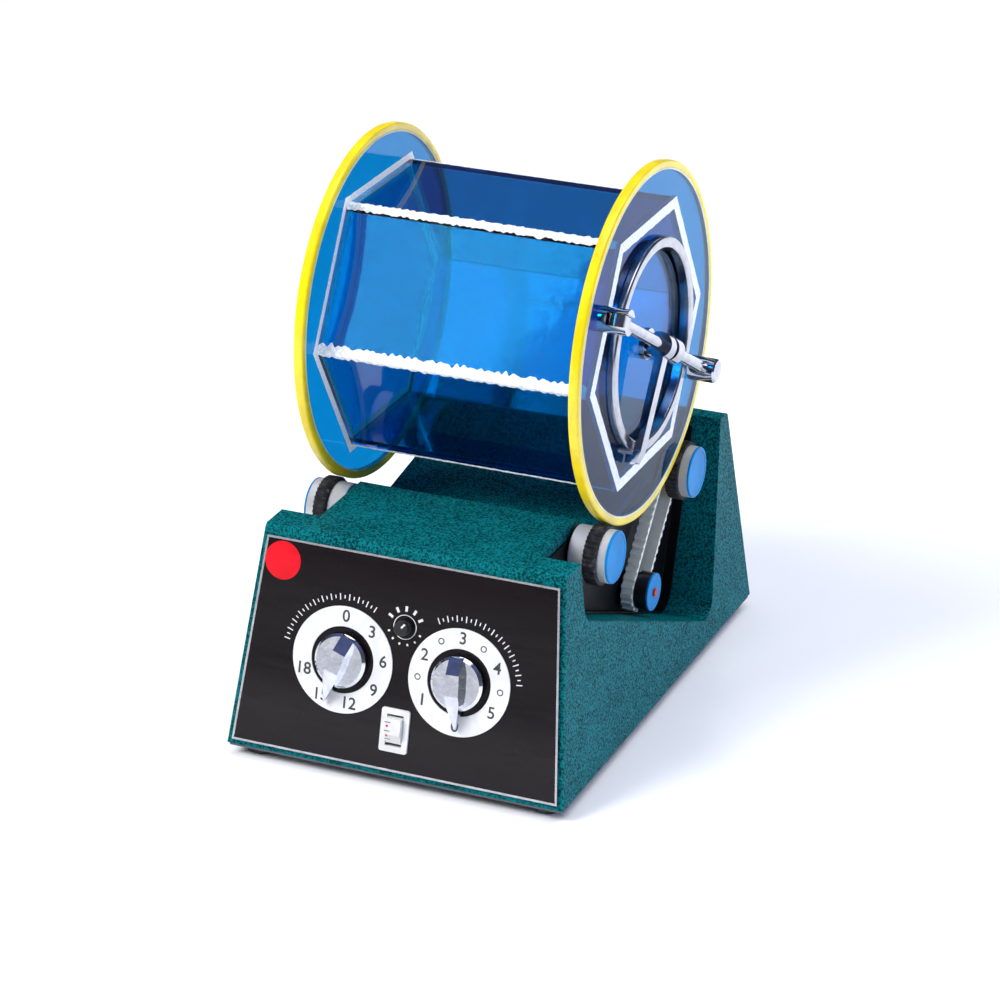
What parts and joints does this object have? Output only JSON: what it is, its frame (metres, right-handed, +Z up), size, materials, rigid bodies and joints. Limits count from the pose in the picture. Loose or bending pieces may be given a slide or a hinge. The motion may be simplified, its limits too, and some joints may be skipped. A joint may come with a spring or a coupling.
{
  "type": "rotary rock tumbler",
  "caption": "Rotary rock tumbler: a clear blue six-sided barrel with yellow-rimmed round ends lies on tyred rollers in a green sheet-metal base with timer and speed dials.",
  "frame": {"origin": "middle of the floor under the feet: centre of the base rectangle, at the underside of the feet", "axes": "+Z up, +X towards the mouth of the barrel, -Y towards the control panel"},
  "size_m": [0.206, 0.3012, 0.3246],
  "materials": {
    "green_paint": "hammered green enamel",
    "dark_plate": "grey painted steel",
    "zinc_screw": "zinc-plated screws",
    "foot_rubber": "black moulded rubber",
    "black_moulding": "black moulded plastic",
    "bronze_bush": "sintered bronze",
    "motor_can": "dark painted motor",
    "bracket_steel": "folded steel",
    "belt_rubber": "cream toothed belt",
    "circuit_board": "green circuit board",
    "pillar_plastic": "moulded pillars",
    "panel_black": "black gloss panel",
    "bright_trim": "bright metal strip",
    "dial_white": "white printed dial",
    "control_body": "moulded control body",
    "switch_white": "white moulded switch",
    "knob_chrome": "bright chrome knob",
    "knob_black": "black knob",
    "shaft_steel": "ground steel shaft",
    "blue_disc": "blue end disc",
    "red_screw": "red sealed screw",
    "roller_aluminium": "turned aluminium",
    "tyre_rubber": "ribbed black rubber",
    "disc_clear_blue": "clear blue acrylic",
    "rim_yellow": "yellow rim moulding",
    "panel_clear_blue": "clear blue acrylic",
    "ring_chrome": "polished chrome",
    "pin_steel": "bright steel pin",
    "lid_clear_blue": "clear blue acrylic"
  },
  "bodies": {
    "base": {"base_shell": "green_paint", "bottom_plate": "dark_plate", "base_screws": "zinc_screw", "rubber_feet": "foot_rubber", "belt_tray": "black_moulding", "bearing_housings": "black_moulding", "shaft_bearings": "bronze_bush", "gear_motor": "motor_can", "motor_bracket": "bracket_steel", "motor_screws": "zinc_screw", "drive_belt": "belt_rubber", "speed_board": "circuit_board", "board_pillars": "pillar_plastic", "cord_gland": "black_moulding", "control_panel": "panel_black", "panel_trim": "bright_trim", "timer_dial": "dial_white", "speed_dial": "dial_white", "timer_mechanism": "control_body", "speed_selector": "control_body", "trim_potentiometer": "control_body", "switch_housing": "switch_white"},
    "timer_knob": {"timer_knob": "knob_chrome"},
    "speed_knob": {"speed_knob": "knob_chrome"},
    "trim_knob": {"trim_knob": "knob_black"},
    "switch_rocker": {"switch_rocker": "switch_white"},
    "motor_rotor": {"motor_shaft": "shaft_steel", "motor_pulley": "black_moulding", "pulley_end_disc": "blue_disc", "pulley_screw": "red_screw"},
    "front_rollers": {"front_shaft": "shaft_steel", "front_roller_hubs": "roller_aluminium", "front_tyres": "tyre_rubber", "front_roller_caps": "blue_disc"},
    "rear_rollers": {"rear_shaft": "shaft_steel", "rear_roller_hubs": "roller_aluminium", "rear_tyres": "tyre_rubber", "rear_roller_caps": "blue_disc", "driven_pulley": "black_moulding"},
    "drum": {"left_disc": "disc_clear_blue", "right_disc": "disc_clear_blue", "left_rim": "rim_yellow", "right_rim": "rim_yellow", "barrel_panel_1": "panel_clear_blue", "barrel_panel_2": "panel_clear_blue", "barrel_panel_3": "panel_clear_blue", "barrel_panel_4": "panel_clear_blue", "barrel_panel_5": "panel_clear_blue", "barrel_panel_6": "panel_clear_blue", "mouth_ring": "ring_chrome", "mouth_gasket": "foot_rubber", "hinge_post": "ring_chrome", "hinge_pin": "pin_steel", "latch_stud": "pin_steel"},
    "lid_bridge": {"cross_rod": "ring_chrome", "lid_hanger": "ring_chrome", "lid_plate": "lid_clear_blue", "latch_barrel": "ring_chrome"},
    "clamp_lever": {"cam_lever": "ring_chrome"}
  },
  "joints": [
    {"name": "drum_spin", "type": "hinge", "parent": "base", "child": "drum", "pos_m": [0, 0.013, 0.22063], "axis": [1, 0, 0], "continuous": true},
    {"name": "rear_roller_spin", "type": "hinge", "parent": "base", "child": "rear_rollers", "pos_m": [0, 0.077, 0.117], "axis": [1, 0, 0], "continuous": true},
    {"name": "front_roller_spin", "type": "hinge", "parent": "base", "child": "front_rollers", "pos_m": [0, -0.051, 0.117], "axis": [1, 0, 0], "continuous": true},
    {"name": "motor_spin", "type": "hinge", "parent": "base", "child": "motor_rotor", "pos_m": [0, 0.02601, 0.06037], "axis": [1, 0, 0], "continuous": true},
    {"name": "lid_bridge_swing", "type": "hinge", "parent": "drum", "child": "lid_bridge", "pos_m": [0.095, -0.05628, 0.26063], "axis": [0, -0.5, -0.866], "range_deg": [0, 115]},
    {"name": "clamp_lever_swing", "type": "hinge", "parent": "lid_bridge", "child": "clamp_lever", "pos_m": [0.095, 0.013, 0.22063], "axis": [0, -0.866, 0.5], "range_deg": [0, 115]},
    {"name": "timer_turn", "type": "hinge", "parent": "base", "child": "timer_knob", "pos_m": [-0.0355, -0.13493, 0.06661], "axis": [0, -0.969, 0.2471], "range_deg": [-50, 198]},
    {"name": "speed_turn", "type": "hinge", "parent": "base", "child": "speed_knob", "pos_m": [0.0355, -0.13493, 0.06661], "axis": [0, -0.969, 0.2471], "range_deg": [-303, 0]},
    {"name": "trim_turn", "type": "hinge", "parent": "base", "child": "trim_knob", "pos_m": [0, -0.12875, 0.09083], "axis": [0, -0.969, 0.2471], "range_deg": [-95, 175]},
    {"name": "rocker_tilt", "type": "hinge", "parent": "base", "child": "switch_rocker", "pos_m": [0, -0.14488, 0.03406], "axis": [-1, 0, 0], "range_deg": [0, 14]}
  ],
  "couplings": [
    {"joint": "rear_roller_spin", "follows": "drum_spin", "ratio": -5.9429},
    {"joint": "front_roller_spin", "follows": "drum_spin", "ratio": -5.9429},
    {"joint": "motor_spin", "follows": "drum_spin", "ratio": -5.9429}
  ]
}
